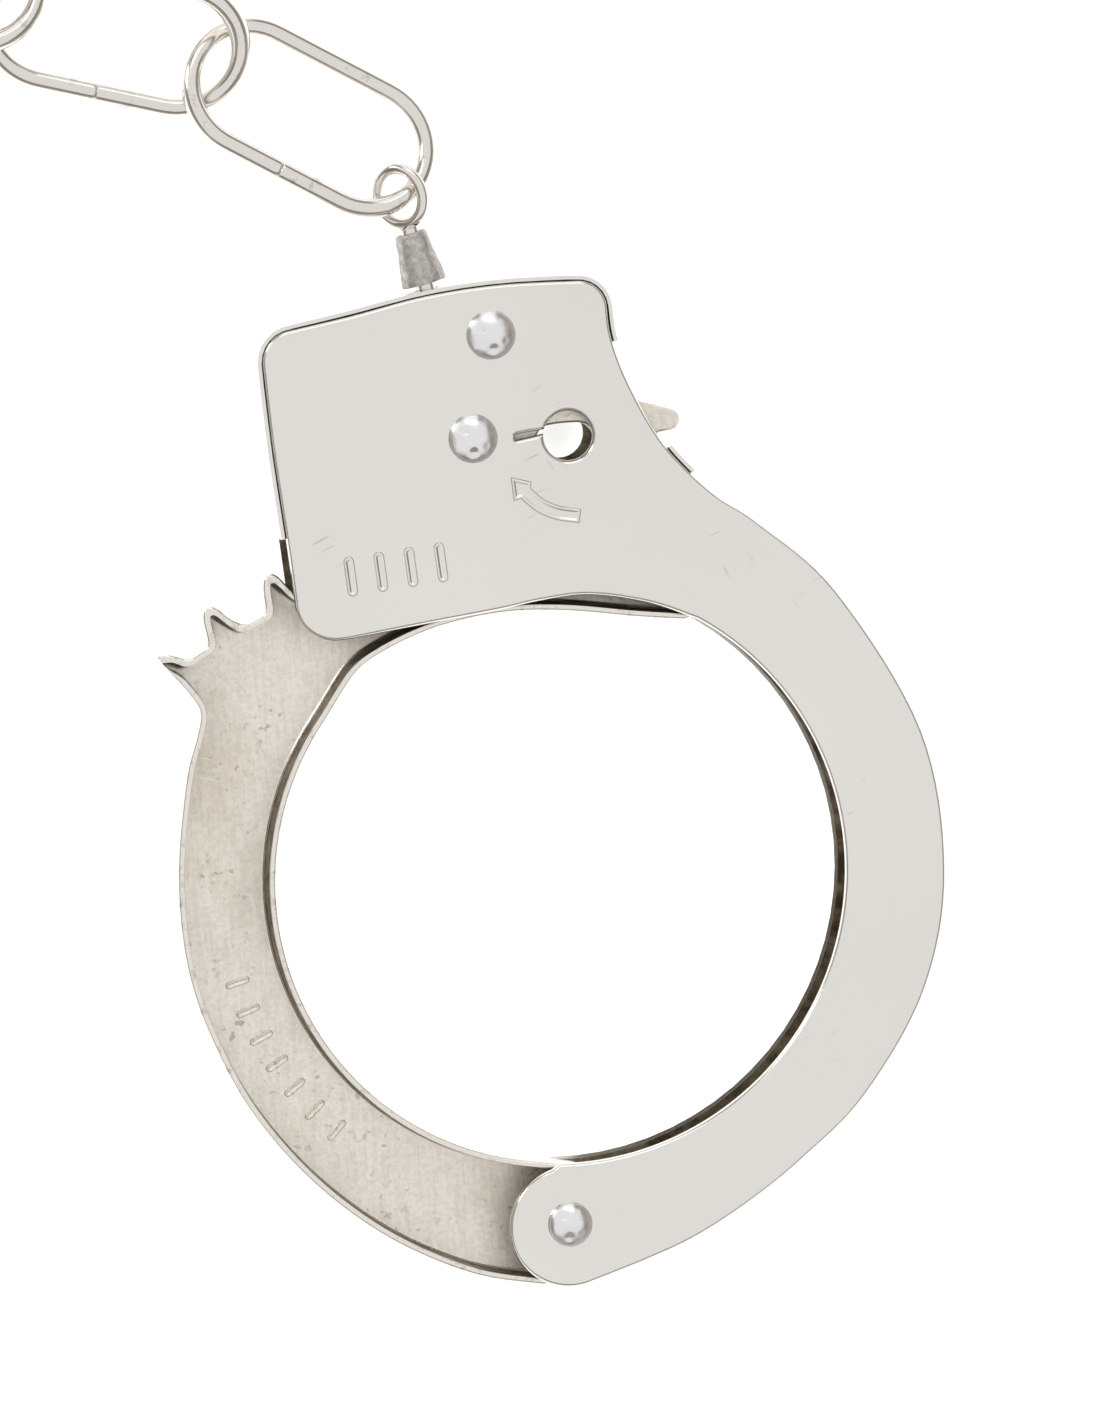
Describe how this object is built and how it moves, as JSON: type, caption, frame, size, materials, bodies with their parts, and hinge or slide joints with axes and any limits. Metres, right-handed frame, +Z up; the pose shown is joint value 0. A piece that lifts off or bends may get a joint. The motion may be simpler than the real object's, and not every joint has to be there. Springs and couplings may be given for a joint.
{
  "type": "swing-through handcuffs",
  "caption": "Handcuffs with toothed swing-through arms, push levers beside the keyholes, swivels and a short wire chain.",
  "frame": {"origin": "on the floor plane under the middle of the chain and the middle of the whole as laid out", "axes": "+Z up off the front plates, +Y along the length from cuff A towards cuff B, +X to cuff A's side"},
  "size_m": [0.1572, 0.2362, 0.0083],
  "materials": {
    "nickel_plate": "nickel-plated sheet steel, near mirror",
    "worn_nickel": "worn nickel on drawn and stamped steel",
    "aluminium": "hammered bright rivets",
    "cast_zinc": "rough cast zinc, grey",
    "spring_steel": "dull steel",
    "bright_wire": "nickel-plated wire"
  },
  "bodies": {
    "link_middle": {"chain_link_2": "bright_wire"},
    "link_a": {"chain_link_1": "bright_wire"},
    "link_b": {"chain_link_3": "bright_wire"},
    "swivel_a": {"swivel_eye_a": "bright_wire", "swivel_ferrule_a": "cast_zinc", "swivel_washer_a": "bright_wire"},
    "cuff_a": {"rear_shell_a": "nickel_plate", "front_plate_a": "nickel_plate", "arm_rivet_a": "aluminium", "lever_rivet_a": "aluminium", "spring_rivet_a": "aluminium", "arm_bush_a": "spring_steel", "spring_bush_a": "spring_steel", "lever_washer_rear_a": "spring_steel", "lever_washer_front_a": "spring_steel", "pawl_spring_a": "spring_steel"},
    "arm_a": {"swing_arm_a": "worn_nickel"},
    "lever_a": {"release_lever_a": "worn_nickel"},
    "swivel_b": {"swivel_eye_b": "bright_wire", "swivel_ferrule_b": "cast_zinc", "swivel_washer_b": "bright_wire"},
    "cuff_b": {"rear_shell_b": "nickel_plate", "front_plate_b": "nickel_plate", "arm_rivet_b": "aluminium", "lever_rivet_b": "aluminium", "spring_rivet_b": "aluminium", "arm_bush_b": "spring_steel", "spring_bush_b": "spring_steel", "lever_washer_rear_b": "spring_steel", "lever_washer_front_b": "spring_steel", "pawl_spring_b": "spring_steel"},
    "arm_b": {"swing_arm_b": "worn_nickel"},
    "lever_b": {"release_lever_b": "worn_nickel"}
  },
  "joints": [
    {"name": "link_a_swing", "type": "hinge", "parent": "link_middle", "child": "link_a", "pos_m": [0.01309, -0.00499, 0.0031], "axis": [0.1427, 0.2741, 0.9511], "range_deg": [-45, 45]},
    {"name": "link_b_swing", "type": "hinge", "parent": "link_middle", "child": "link_b", "pos_m": [-0.01309, 0.00499, 0.0049], "axis": [0.1427, 0.2741, 0.9511], "range_deg": [-45, 45]},
    {"name": "swivel_a_swing", "type": "hinge", "parent": "link_a", "child": "swivel_a", "pos_m": [0.02365, -0.01049, 0.0031], "axis": [-0.1427, -0.2741, -0.9511], "range_deg": [-45, 45]},
    {"name": "swivel_b_swing", "type": "hinge", "parent": "link_b", "child": "swivel_b", "pos_m": [-0.02365, 0.01049, 0.0049], "axis": [-0.1427, -0.2741, -0.9511], "range_deg": [-45, 45]},
    {"name": "cuff_a_turn", "type": "hinge", "parent": "swivel_a", "child": "cuff_a", "pos_m": [0.0293, -0.02375, 0.004], "axis": [-0.2756, 0.9613, 0], "continuous": true},
    {"name": "cuff_b_turn", "type": "hinge", "parent": "swivel_b", "child": "cuff_b", "pos_m": [-0.0293, 0.02375, 0.004], "axis": [0.2756, -0.9613, 0], "continuous": true},
    {"name": "arm_a_swing", "type": "hinge", "parent": "cuff_a", "child": "arm_a", "pos_m": [0.04254, -0.1121, 0.004], "axis": [0, 0, 1], "continuous": true},
    {"name": "arm_b_swing", "type": "hinge", "parent": "cuff_b", "child": "arm_b", "pos_m": [-0.04254, 0.1121, 0.004], "axis": [0, 0, 1], "continuous": true},
    {"name": "lever_a_lift", "type": "hinge", "parent": "cuff_a", "child": "lever_a", "pos_m": [0.0333, -0.0378, 0.004], "axis": [0, 0, 1], "range_deg": [-3.5, 9], "stiffness_Nm_per_rad": 0.02, "deforming": ["pawl_spring_a"]},
    {"name": "lever_b_lift", "type": "hinge", "parent": "cuff_b", "child": "lever_b", "pos_m": [-0.0333, 0.0378, 0.004], "axis": [0, 0, 1], "range_deg": [-3.5, 9], "stiffness_Nm_per_rad": 0.02, "deforming": ["pawl_spring_b"]}
  ]
}
